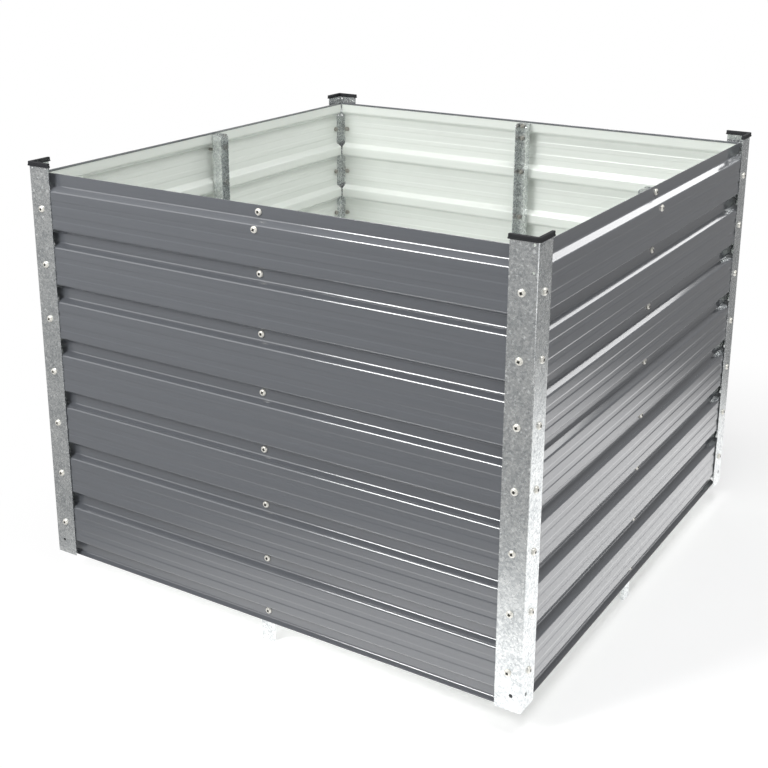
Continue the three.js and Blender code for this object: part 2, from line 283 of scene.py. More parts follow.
@dataclass(frozen=True)
class GalvanisedSteel(Finish):
    """Hot-dip galvanised steel.

    The zinc freezes in fine flat crystals, and each one tilts the light another way. Dull oxide flecks
    lie among them, light against a dark reflection and dark against a bright one.
    """

    roughness: float = 0.26
    fleck_roughness: float = 0.62
    bare_share: float = 0.84  # the rest is dull oxide, which keeps some lightness in a dark reflection
    crystal_size_mm: float = 3.6
    crystal_warp_mm: float = 2.6
    crystal_tilt: float = 0.03
    fleck_size_mm: float = 5.5
    fleck_low: float = 0.56
    fleck_high: float = 0.66
    cloud_size_mm: float = 45.0
    cloud_share: float = 0.55
    tone_low: float = 0.2
    tone_high: float = 0.8

    def build(self) -> bpy.types.Material:
        """Makes the material.

        Returns:
            The material.
        """
        material, tree = new_material(self.name)
        place = add_node(tree, "ShaderNodeTexCoord").outputs["Object"]
        half = (0.5, 0.5, 0.5)
        warp = add_node(
            tree,
            "ShaderNodeTexNoise",
            {"Vector": place, "Scale": per_metre(self.crystal_size_mm), "Detail": 2.0},
        )
        drift = add_node(
            tree, "ShaderNodeVectorMath", {0: warp.outputs["Color"], 1: half}, operation="SUBTRACT"
        )
        drifted = add_node(
            tree,
            "ShaderNodeVectorMath",
            {0: drift.outputs["Vector"], 1: (self.crystal_warp_mm * MM,) * 3, 2: place},
            operation="MULTIPLY_ADD",
        )
        crystals = add_node(
            tree,
            "ShaderNodeTexVoronoi",
            {"Vector": drifted.outputs["Vector"], "Scale": per_metre(self.crystal_size_mm)},
        )
        clouds = add_node(
            tree,
            "ShaderNodeTexNoise",
            {"Vector": place, "Scale": per_metre(self.cloud_size_mm), "Detail": 4.0},
        )
        flecks = add_node(
            tree,
            "ShaderNodeTexNoise",
            {"Vector": place, "Scale": per_metre(self.fleck_size_mm), "Detail": 4.0, "Roughness": 0.65},
        )
        shade = add_node(tree, "ShaderNodeSeparateColor", {"Color": crystals.outputs["Color"]})
        patchy = add_node(
            tree,
            "ShaderNodeMix",
            {"Factor": self.cloud_share, "A": shade.outputs["Red"], "B": clouds.outputs["Fac"]},
        )
        dullness = add_node(
            tree,
            "ShaderNodeMapRange",
            {
                "Value": flecks.outputs["Fac"],
                "From Min": self.fleck_low,
                "From Max": self.fleck_high,
                "To Min": self.roughness,
                "To Max": self.fleck_roughness,
            },
        )
        lean = add_node(
            tree, "ShaderNodeVectorMath", {0: crystals.outputs["Color"], 1: half}, operation="SUBTRACT"
        )
        tilted = add_node(
            tree,
            "ShaderNodeVectorMath",
            {
                0: lean.outputs["Vector"],
                1: (self.crystal_tilt,) * 3,
                2: add_node(tree, "ShaderNodeNewGeometry").outputs["Normal"],
            },
            operation="MULTIPLY_ADD",
        )
        facing = add_node(tree, "ShaderNodeVectorMath", {0: tilted.outputs["Vector"]}, operation="NORMALIZE")
        shader = add_node(
            tree,
            "ShaderNodeBsdfPrincipled",
            {
                "Base Color": self.tone(tree, patchy.outputs["Result"], self.tone_low, self.tone_high),
                "Roughness": dullness.outputs["Result"],
                "Normal": facing.outputs["Vector"],
                "Metallic": self.bare_share,
            },
        )
        add_node(tree, "ShaderNodeOutputMaterial", {"Surface": shader.outputs["BSDF"]})
        return material


@dataclass(frozen=True)
class ZincPlate(Finish):
    """Electroplated zinc on small turned and pressed steel.

    A thin passivated bloom lies over the bright metal, so it is pale with a faint straw tint and keeps
    some of its lightness where its reflection is dark.
    """

    roughness: float = 0.28
    bare_share: float = 0.35
    mottle_size_mm: float = 2.2
    tone_low: float = 0.3
    tone_high: float = 0.7

    def build(self) -> bpy.types.Material:
        """Makes the material.

        Returns:
            The material.
        """
        material, tree = new_material(self.name)
        place = add_node(tree, "ShaderNodeTexCoord").outputs["Object"]
        mottle = add_node(
            tree,
            "ShaderNodeTexNoise",
            {"Vector": place, "Scale": per_metre(self.mottle_size_mm), "Detail": 2.0},
        )
        shader = add_node(
            tree,
            "ShaderNodeBsdfPrincipled",
            {
                "Base Color": self.tone(tree, mottle.outputs["Fac"], self.tone_low, self.tone_high),
                "Roughness": self.roughness,
                "Metallic": self.bare_share,
            },
        )
        add_node(tree, "ShaderNodeOutputMaterial", {"Surface": shader.outputs["BSDF"]})
        return material


@dataclass(frozen=True)
class MouldedPolypropylene(Finish):
    """Injection-moulded polypropylene with a fine spark-eroded grain, dark grey and satin."""

    roughness: float = 0.5
    grain_size_mm: float = 0.7  # the real grain is nearer 0.2 mm, drawn coarser so that it shows
    grain_depth_mm: float = 0.02
    grain_strength: float = 0.5
    ior: float = 1.49
    tone_low: float = 0.35
    tone_high: float = 0.65

    def build(self) -> bpy.types.Material:
        """Makes the material.

        Returns:
            The material.
        """
        material, tree = new_material(self.name)
        place = add_node(tree, "ShaderNodeTexCoord").outputs["Object"]
        grain = add_node(
            tree,
            "ShaderNodeTexNoise",
            {"Vector": place, "Scale": per_metre(self.grain_size_mm), "Detail": 2.0},
        )
        raised_grain = add_node(
            tree,
            "ShaderNodeBump",
            {
                "Height": grain.outputs["Fac"],
                "Distance": self.grain_depth_mm * MM,
                "Strength": self.grain_strength,
            },
        )
        shader = add_node(
            tree,
            "ShaderNodeBsdfPrincipled",
            {
                "Base Color": self.tone(tree, grain.outputs["Fac"], self.tone_low, self.tone_high),
                "Roughness": self.roughness,
                "Normal": raised_grain.outputs["Normal"],
                "Metallic": 0.0,
                "IOR": self.ior,
            },
        )
        add_node(tree, "ShaderNodeOutputMaterial", {"Surface": shader.outputs["BSDF"]})
        return material


@dataclass
class Finishes:
    """The bed's finishes, each made once and shared."""

    paint: bpy.types.Material = field(
        default_factory=CoilCoating("anthracite_coil_coating", "#63666b", "#5d6065", 0.36, 0.09).build
    )
    backing: bpy.types.Material = field(
        default_factory=CoilCoating("pale_backing_coat", "#ebefea", "#e5eae4", 0.45, 0.25).build
    )
    zinc: bpy.types.Material = field(
        default_factory=GalvanisedSteel("hot_dip_galvanised_steel", "#f6f8f7", "#bfc3c5").build
    )
    cut_edge: bpy.types.Material = field(
        default_factory=ZincPlate("sheared_steel_edge", "#a6a8a8", "#85888a", 0.4).build
    )
    plate: bpy.types.Material = field(
        default_factory=ZincPlate("bright_zinc_plate", "#faf8f1", "#e9e6dc").build
    )
    nut: bpy.types.Material = field(
        default_factory=ZincPlate("dull_zinc_nut", "#b4b2aa", "#8f8d86", 0.5).build
    )
    # The recess finish is a dark zinc tone that paints in the shade which falls inside the bolts' cross
    # recesses.
    recess: bpy.types.Material = field(
        default_factory=ZincPlate("oiled_zinc_recess", "#4c4b47", "#383835", 0.5).build
    )
    plastic: bpy.types.Material = field(
        default_factory=MouldedPolypropylene("dark_grey_polypropylene", "#252629", "#1f2023").build
    )


# ---- mesh helpers


def local_box(node: str, turns: int) -> tuple[Vector, Vector]:
    """A model node's box, turned back to the front side or front left corner.

    Args:
        node: The node's name.
        turns: The quarter turns of its side or corner.

    Returns:
        Its lowest and highest corners.
    """
    back = Matrix.Rotation(-turns * QUARTER_TURN, 4, "Z")
    first, second = (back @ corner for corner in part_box(node))
    return Vector(map(min, first, second)), Vector(map(max, first, second))


def polyline(bm: bmesh.types.BMesh, points: Sequence[Vector]) -> list[bmesh.types.BMEdge]:
    """Adds the edges of an open line through these points."""
    verts = [bm.verts.new(point) for point in points]
    return [bm.edges.new(pair) for pair in zip(verts, verts[1:])]


def polygon(bm: bmesh.types.BMesh, points: Sequence[Vector]) -> bmesh.types.BMFace:
    """Adds one flat face through these points."""
    return bm.faces.new([bm.verts.new(point) for point in points])


def drawn_out(bm: bmesh.types.BMesh, edges: Sequence[bmesh.types.BMEdge], way: Vector) -> None:
    """Extrudes a line of edges into a strip of faces."""
    made = bmesh.ops.extrude_edge_only(bm, edges=edges)["geom"]
    bmesh.ops.translate(bm, verts=[g for g in made if isinstance(g, bmesh.types.BMVert)], vec=way)


def raised(bm: bmesh.types.BMesh, face: bmesh.types.BMFace, way: Vector) -> bmesh.types.BMFace:
    """Extrudes one face. A face with neighbours leaves none behind, and a face on its own stays as the base.

    Args:
        bm: The mesh.
        face: The face to extrude.
        way: How far it moves.

    Returns:
        The face at the new end.
    """
    made = bmesh.ops.extrude_face_region(bm, geom=[face, *face.edges, *face.verts])["geom"]
    bmesh.ops.translate(bm, verts=[g for g in made if isinstance(g, bmesh.types.BMVert)], vec=way)
    return next(g for g in made if isinstance(g, bmesh.types.BMFace))


def eased(
    bm: bmesh.types.BMesh,
    geom: Sequence[bmesh.types.BMVert] | Sequence[bmesh.types.BMEdge],
    size: float,
    steps: int,
) -> None:
    """Rounds edges, or the corners of a flat outline.

    Args:
        bm: The mesh.
        geom: The edges, or the corners' vertices.
        size: How far the rounding reaches from each.
        steps: The number of facets, 1 for a chamfer.
    """
    corners = isinstance(geom[0], bmesh.types.BMVert)
    bmesh.ops.bevel(
        bm,
        geom=geom,
        offset=size,
        segments=steps,
        profile=0.5,
        affect="VERTICES" if corners else "EDGES",
        material=-1,
    )


def round_bends(
    bm: bmesh.types.BMesh, points: Sequence[Vector], radius: float, axis: Vector, steps: int
) -> None:
    """Rounds sharp bends of a strip that all turn by the same angle.

    Args:
        bm: The strip.
        points: A point on each sharp bend line.
        radius: The bends' radius.
        axis: The direction that the bend lines run in.
        steps: The number of facets of a bend.
    """
    lines = []
    for edge in bm.edges:
        start, end = (vert.co for vert in edge.verts)
        if abs((end - start).normalized().dot(axis)) < PARALLEL:
            continue
        offsets = (point - start for point in points)
        if any((o - axis * o.dot(axis)).length < TOUCHING for o in offsets):
            lines.append(edge)
    eased(bm, lines, radius * math.tan(lines[0].calc_face_angle() / 2), steps)


def face_outwards(bm: bmesh.types.BMesh, way: Vector) -> None:
    """Turns an open strip over if its faces look away from a direction on the whole.

    Args:
        bm: The strip.
        way: The direction that its faces should look in.
    """
    bm.normal_update()
    lean = sum(face.calc_area() * face.normal.dot(way) for face in bm.faces)
    if lean < 0:
        bmesh.ops.reverse_faces(bm, faces=bm.faces)


def new_object(name: str, bm: bmesh.types.BMesh, materials: Sequence[bpy.types.Material]) -> bpy.types.Object:
    """Makes an object of a mesh and frees the mesh.

    Args:
        name: The object's name.
        bm: Its mesh.
        materials: Its materials, in the order of the faces' material numbers.

    Returns:
        The new object.
    """
    mesh = bpy.data.meshes.new(name)
    bm.to_mesh(mesh)
    bm.free()
    for material in materials:
        mesh.materials.append(material)
    piece = bpy.data.objects.new(name, mesh)
    bpy.context.scene.collection.objects.link(piece)
    return piece


def baked(piece: bpy.types.Object) -> bpy.types.Object:
    """Applies an object's modifiers to its mesh.

    Args:
        piece: The object.

    Returns:
        The same object.
    """
    graph = bpy.context.evaluated_depsgraph_get()
    mesh = bpy.data.meshes.new_from_object(piece.evaluated_get(graph))
    piece.modifiers.clear()
    piece.data = mesh
    return piece


def bored(piece: bpy.types.Object, cutters: bmesh.types.BMesh) -> bpy.types.Object:
    """Cuts closed shapes out of an object, after its other modifiers.

    Args:
        piece: The object.
        cutters: The shapes, which are freed.

    Returns:
        The same object.
    """
    tool = new_object(piece.name + "_cutters", cutters, [])
    cut = piece.modifiers.new("holes", "BOOLEAN")
    cut.operation = "DIFFERENCE"
    cut.solver = "EXACT"
    cut.object = tool
    baked(piece)
    bpy.data.objects.remove(tool)
    return piece


def walled(piece: bpy.types.Object, thickness: float) -> bpy.types.SolidifyModifier:
    """Gives an open strip a wall behind its faces.

    Args:
        piece: The strip.
        thickness: The wall's thickness.

    Returns:
        The modifier, so that a sheet can give its back and its edges finishes of their own.
    """
    wall = piece.modifiers.new("wall", "SOLIDIFY")
    wall.thickness = thickness
    wall.offset = -1
    wall.use_even_offset = True
    return wall


def shaded(piece: bpy.types.Object) -> bpy.types.Object:
    """Applies a piece's modifiers and shades it: sharp edges stay sharp and flats beside bends look flat.

    Args:
        piece: The piece.

    Returns:
        The same piece.
    """
    mesh = baked(piece).data
    mesh.shade_smooth()
    mesh.set_sharp_from_angle(angle=SHARP_ANGLE)
    flats = piece.modifiers.new("true_flats", "WEIGHTED_NORMAL")
    flats.keep_sharp = True
    return baked(piece)


def settle(piece: bpy.types.Object, turns: int, nodes: Sequence[str] = ()) -> bpy.types.Object:
    """Args:
        piece: The piece, made at the front side or front left corner.
        turns: The quarter turns to its own place.
        nodes: The model nodes that it stands for.

    Returns:
        The piece.
    """
    shaded(piece).data.transform(Matrix.Rotation(turns * QUARTER_TURN, 4, "Z"))
    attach(piece, BODY)
    if nodes:
        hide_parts(*nodes)
    LOG.info("made %s with %d faces", piece.name, len(piece.data.polygons))
    return piece


# ---- bolts


@dataclass
class BoltSet:
    """Cross-recessed pan-head bolts and their hexagon nuts, M6, made once and copied to each place."""

    finishes: Finishes
    head_radius: float = 6.0 * MM
    head_height: float = 3.6 * MM
    head_edge: float = 0.9 * MM
    crown_share: float = 0.4
    crown_steps: int = 5
    shank_radius: float = 2.9 * MM
    thread_depth: float = 0.45 * MM
    thread_pitch: float = 1.0 * MM
    thread_end: float = 2.0 * MM
    nut_radius: float = 5.5 * MM
    nut_height: float = 5.0 * MM
    nut_bore: float = 3.0 * MM
    nut_chamfer: float = 0.5 * MM
    recess_radius: float = 3.2 * MM
    recess_width: float = 1.7 * MM
    recess_heart: float = 1.5 * MM
    recess_depth: float = 2.4 * MM
    recess_taper: float = 0.5
    recess_lip: float = 0.5 * MM  # faces further below the crown than this belong to the recess
    recess_slant: float = 0.6  # and so do faces whose normals lean this little to the bolt's axis
    steps: int = 24
    count: int = 0

    def __post_init__(self) -> None:
        """Makes the head, with its recess, once."""
        self.head = self._head()

    def _spun(self, profile: Sequence[tuple[float, float]]) -> bmesh.types.BMesh:
        """Makes a solid turned about the Y axis.

        Args:
            profile: Its radius and its depth at each corner of its outline.

        Returns:
            The solid.
        """
        bm = bmesh.new()
        edges = polyline(bm, [Vector((radius, depth, 0)) for radius, depth in profile])
        bmesh.ops.spin(
            bm,
            geom=[*bm.verts, *edges],
            cent=(0, 0, 0),
            axis=(0, 1, 0),
            angle=2 * math.pi,
            steps=self.steps,
            use_merge=True,
        )
        bmesh.ops.remove_doubles(bm, verts=bm.verts, dist=TOUCHING)
        bmesh.ops.recalc_face_normals(bm, faces=bm.faces)
        return bm

    def _head(self) -> bpy.types.Mesh:
        """Makes the head with a cross recess, its underside at depth 0.

        Returns:
            The head's mesh.
        """
        crown = -self.head_height
        flat = self.head_radius * self.crown_share
        profile = [(0.0, crown), (flat, crown)]
        for k in range(1, self.crown_steps + 1):
            turn = QUARTER_TURN * k / self.crown_steps
            radius = flat + (self.head_radius - flat) * math.sin(turn)
            depth = -self.head_edge + (crown + self.head_edge) * math.cos(turn)
            profile.append((radius, depth))
        profile += [(self.head_radius, 0.0), (0.0, 0.0)]
        head = new_object("bolt_head", self._spun(profile), [self.finishes.plate, self.finishes.recess])
        bored(head, self._recess(crown))
        mesh = head.data
        # The sunken faces of the recess take the dark finish, which is painted shade for the recess.
        for face in mesh.polygons:
            across, depth = math.hypot(face.center.x, face.center.z), face.center.y
            sunken = abs(face.normal.y) < self.recess_slant or depth > crown + self.recess_lip
            face.material_index = int(across < self.recess_radius and depth < 0 and sunken)
        bpy.data.objects.remove(head)
        return mesh

    def _recess(self, crown: float) -> bmesh.types.BMesh:
        """Makes a cutter for the cross recess, wide above the crown and tapering to its floor.

        Args:
            crown: The depth of the head's crown.

        Returns:
            The cutter.
        """
        bm = bmesh.new()
        tip, side, heart = self.recess_radius, self.recess_width / 2, self.recess_heart
        arm = [Vector((tip, 0, -side)), Vector((tip, 0, side)), Vector((heart, 0, heart))]
        outline = [Matrix.Rotation(-k * QUARTER_TURN, 3, "Y") @ point for k in range(4) for point in arm]
        mouth = polygon(bm, outline)
        bmesh.ops.translate(bm, verts=bm.verts, vec=(0, crown - side, 0))
        floor = raised(bm, mouth, Vector((0, side + self.recess_depth, 0)))
        bmesh.ops.scale(bm, verts=floor.verts, vec=(self.recess_taper, 1, self.recess_taper))
        bmesh.ops.recalc_face_normals(bm, faces=bm.faces)
        return bm

    def _joined(self, bm: bmesh.types.BMesh, part: bmesh.types.BMesh) -> None:
        """Adds a part behind the head, in the nut's finish.

        Args:
            bm: The bolt.
            part: The part, which is freed.
        """
        for face in part.faces:
            face.material_index = 2
        mesh = bpy.data.meshes.new("behind_the_head")
        part.to_mesh(mesh)
        part.free()
        bm.from_mesh(mesh)
        bpy.data.meshes.remove(mesh)

    def _shank(self, bm: bmesh.types.BMesh, length: float) -> None:
        """Adds the shank, smooth in its holes and threaded from inside the nut to its end.

        Args:
            bm: The bolt.
            length: The shank's length.
        """
        root = self.shank_radius - self.thread_depth
        profile = [(0.0, 0.0), (self.shank_radius, 0.0)]
        turns = int((self.thread_end + self.thread_pitch) / self.thread_pitch)
        depth = length - turns * self.thread_pitch
        for _ in range(turns):
            profile += [(self.shank_radius, depth), (root, depth + self.thread_pitch / 2)]
            depth += self.thread_pitch
        profile += [(root, length), (0.0, length)]
        self._joined(bm, self._spun(profile))

    def _nut(self, bm: bmesh.types.BMesh, start: float, turn: float) -> None:
        """Adds the nut.

        Args:
            bm: The bolt.
            start: The depth of the nut's bearing face.
            turn: The nut's turn about the bolt.
        """
        made = bmesh.new()
        radius = self.nut_radius
        bmesh.ops.create_cone(
            made, cap_ends=True, segments=6, radius1=radius, radius2=radius, depth=self.nut_height
        )
        rims = [e for e in made.edges if abs(e.verts[0].co.z - e.verts[1].co.z) < TOUCHING]
        eased(made, rims, self.nut_chamfer, 1)
        ends = [f for f in made.faces if abs(f.normal.z) > PARALLEL]
        land = radius * math.cos(math.pi / 6) - self.nut_chamfer - self.nut_bore
        bmesh.ops.inset_region(made, faces=ends, thickness=land)
        flats = [f for f in made.faces if abs(f.normal.z) > PARALLEL]
        holes = [f for f in flats if f.calc_center_median().to_2d().length < TOUCHING]
        bmesh.ops.bridge_loops(made, edges=[e for f in holes for e in f.edges])
        bmesh.ops.delete(made, geom=holes, context="FACES_ONLY")
        for angle, axis in ((-QUARTER_TURN, "X"), (turn, "Y")):
            matrix = Matrix.Rotation(angle, 3, axis)
            bmesh.ops.rotate(made, verts=made.verts, cent=(0, 0, 0), matrix=matrix)
        bmesh.ops.translate(made, verts=made.verts, vec=(0, start + self.nut_height / 2, 0))
        bmesh.ops.recalc_face_normals(made, faces=made.faces)
        self._joined(bm, made)

    def bolt(
        self, name: str, head_at: Vector, nut_depth: float, leg: Matrix | None = None
    ) -> bpy.types.Object:
        """Makes one bolt with its nut, pointing along +Y.

        Args:
            name: The piece's name.
            head_at: The middle of the head's underside.
            nut_depth: How far behind it the nut's bearing face is.
            leg: A turn about the corner, for a bolt in a post's other leg.

        Returns:
            The bolt, not yet turned to its side.
        """
        self.count += 1
        bm = bmesh.new()
        bm.from_mesh(self.head)
        bm.transform(Matrix.Rotation(self.count * GOLDEN_ANGLE, 4, "Y"))
        self._shank(bm, nut_depth + self.nut_height + self.thread_end)
        self._nut(bm, nut_depth, self.count * GOLDEN_ANGLE / 2)
        bm.transform(Matrix.Translation(head_at))
        if leg is not None:
            bm.transform(leg)
        return new_object(name, bm, [self.finishes.plate, self.finishes.recess, self.finishes.nut])


# ---- sides


@dataclass
class CorrugatedSheet:
    """One painted sheet of a side: broad outer pans, each with two beads, and narrow grooves between."""

    side: Side
    node: str
    hemmed: bool
    finishes: Finishes
    thickness: float = 0.6 * MM
    pitch: float = 103.4 * MM
    pan_height: float = 69.3 * MM
    slope_height: float = 7.5 * MM
    groove_depth: float = 13.0 * MM
    bead_width: float = 12.2 * MM
    bead_spacing: float = 26.8 * MM
    bead_depth: float = 0.5 * MM
    bead_flank: float = 2.3 * MM
    rim_rise: float = 13.2 * MM
    hem_height: float = 4.0 * MM
    hem_fold: float = 0.65 * MM
    fold_radius: float = 0.64 * MM
    lip_drop: float = 4.9 * MM
    bend_radius: float = 4.0 * MM
    bead_radius: float = 4.0 * MM
    bend_steps: int = 5

    def __post_init__(self) -> None:
        """Finds the sheet's place in the model."""
        self.low, self.high = local_box(self.node, self.side.value)
        self.pans = round((self.high.z - self.low.z) / self.pitch)

    def pan_level(self, pan: float) -> float:
        """The level of a pan's middle, counted from the sheet's lowest one."""
        return self.high.z - self.rim_rise - (self.pans - 0.5 - pan) * self.pitch

    def _point(self, depth: float, level: float) -> Vector:
        """A point of the sheet's outer face at its left end."""
        return Vector((self.low.x, self.low.y + depth, level))

    def _section(self) -> tuple[list[Vector], list[Vector], list[Vector], list[Vector]]:
        """The outer face in section, from its hem or top edge down.

        Returns:
            All its points, then those on the hem's fold, on the main bends and on the beads' bends.
        """
        line: list[Vector] = []
        fold: list[Vector] = []
        bends: list[Vector] = []
        beads: list[Vector] = []
        floor = self.groove_depth
        if self.hemmed:
            line.append(self._point(floor + 2 * self.hem_fold, self.high.z - self.hem_height))
            fold.append(self._point(floor + 2 * self.hem_fold, self.high.z))
            fold.append(self._point(floor, self.high.z))
            line += fold
        else:
            line.append(self._point(floor, self.high.z))
        for pan in reversed(range(self.pans)):
            middle = self.pan_level(pan)
            top, bottom = middle + self.pan_height / 2, middle - self.pan_height / 2
            rise = [self._point(floor, top + self.slope_height), self._point(0, top)]
            ribs = []
            for bead in (middle + self.bead_spacing / 2, middle - self.bead_spacing / 2):
                outer, inner = self.bead_width / 2, self.bead_width / 2 - self.bead_flank
                ribs += [self._point(0, bead + outer), self._point(self.bead_depth, bead + inner)]
                ribs += [self._point(self.bead_depth, bead - inner), self._point(0, bead - outer)]
            fall = [self._point(0, bottom), self._point(floor, bottom - self.slope_height)]
            line += [*rise, *ribs, *fall]
            bends += [*rise, *fall]
            beads += ribs
        floor_end = self.pan_level(-0.5) + (self.pan_height + 2 * self.slope_height - self.pitch) / 2
        lip = self._point(floor * (1 - self.lip_drop / self.slope_height), floor_end - self.lip_drop)
        bends.append(self._point(floor, floor_end))
        line += [bends[-1], lip]
        return line, fold, bends, beads

    def build(self) -> bpy.types.Object:
        """Makes the sheet.

        Returns:
            The sheet.
        """
        line, fold, bends, beads = self._section()
        bm = bmesh.new()
        drawn_out(bm, polyline(bm, line), ALONG * (self.high.x - self.low.x))
        round_bends(bm, bends, self.bend_radius, ALONG, self.bend_steps)
        round_bends(bm, beads, self.bead_radius, ALONG, self.bend_steps)
        if fold:
            round_bends(bm, fold, self.fold_radius, ALONG, self.bend_steps)
        face_outwards(bm, OUT)
        materials = [self.finishes.paint, self.finishes.backing, self.finishes.cut_edge]
        piece = new_object(self.node + "_formed", bm, materials)
        wall = walled(piece, self.thickness)
        wall.material_offset = 1
        wall.material_offset_rim = 2
        return settle(piece, self.side.value, [self.node])


@dataclass
class Stake:
    """The channel stake inside a side, with tapered flanges and a foot below the sheets."""

    side: Side
    finishes: Finishes
    thickness: float = 1.2 * MM
    bend_radius: float = 1.8 * MM
    bend_steps: int = 4
    top_round: float = 7.0 * MM
    top_steps: int = 6
    taper_height: float = 40.0 * MM
    taper_top: float = 60.0 * MM
    stub_flange: float = 6.0 * MM

    def build(self) -> bpy.types.Object:
        """Makes the stake.

        Returns:
            The stake.
        """
        node = f"{self.side.name.lower()}_stake"
        low, high = local_box(node, self.side.value)
        tips = [Vector((x, high.y, low.z)) for x in (low.x, high.x)]
        bends = [Vector((x, low.y, low.z)) for x in (low.x, high.x)]
        bm = bmesh.new()
        drawn_out(bm, polyline(bm, [tips[0], *bends, tips[1]]), UP * (high.z - low.z))
        corners = [v for v in bm.verts if v.co.y > high.y - TOUCHING and v.co.z > high.z - TOUCHING]
        eased(bm, corners, self.top_round, self.top_steps)
        self._taper(bm, low, high)
        round_bends(bm, bends, self.bend_radius, UP, self.bend_steps)
        face_outwards(bm, OUT)
        piece = new_object(node + "_channel", bm, [self.finishes.zinc])
        walled(piece, self.thickness)
        return settle(piece, self.side.value, [node])

    def _taper(self, bm: bmesh.types.BMesh, low: Vector, high: Vector) -> None:
        """Cuts the flanges back towards the foot.

        Args:
            bm: The stake's strip.
            low: Its lowest corner.
            high: Its highest corner.
        """
        stub = low.y + self.stub_flange
        foot = low.z + self.taper_top - self.taper_height
        rise, run = self.taper_height, high.y - stub
        slanted = Vector((0, rise, -run)).normalized()
        start = Vector((0, stub, foot))
        for normal in (slanted, Vector((0, 1, 0))):
            geom = [*bm.verts, *bm.edges, *bm.faces]
            bmesh.ops.bisect_plane(bm, geom=geom, plane_co=start, plane_no=normal, dist=TOUCHING)
        beyond = []
        for face in bm.faces:
            away = face.calc_center_median() - start
            if away.dot(slanted) > 0 and away.y > 0:
                beyond.append(face)
        bmesh.ops.delete(bm, geom=beyond, context="FACES")


@dataclass
class BedSide:
    """One side of the bed: two lapped sheets, their stake and its bolts."""

    side: Side
    finishes: Finishes
    bolts: BoltSet
    nodes: Sequence[str]

    def build(self) -> None:
        """Makes the side's pieces."""
        name = self.side.name.lower()
        CorrugatedSheet(self.side, f"{name}_upper_sheet", True, self.finishes).build()
        CorrugatedSheet(self.side, f"{name}_lower_sheet", False, self.finishes).build()
        Stake(self.side, self.finishes).build()
        grooves = sorted(n for n in self.nodes if n.startswith(f"{name}_groove_bolt_"))
        for node in [*grooves, f"{name}_pan_bolt"]:
            low, high = local_box(node, self.side.value)
            middle = (low + high) / 2
            head_at = Vector((middle.x, low.y + self.bolts.head_height, middle.z))
            nut_depth = high.y - self.bolts.nut_height - head_at.y
            bolt = self.bolts.bolt(node + "_and_nut", head_at, nut_depth)
            settle(bolt, self.side.value, [node])


# ---- corners


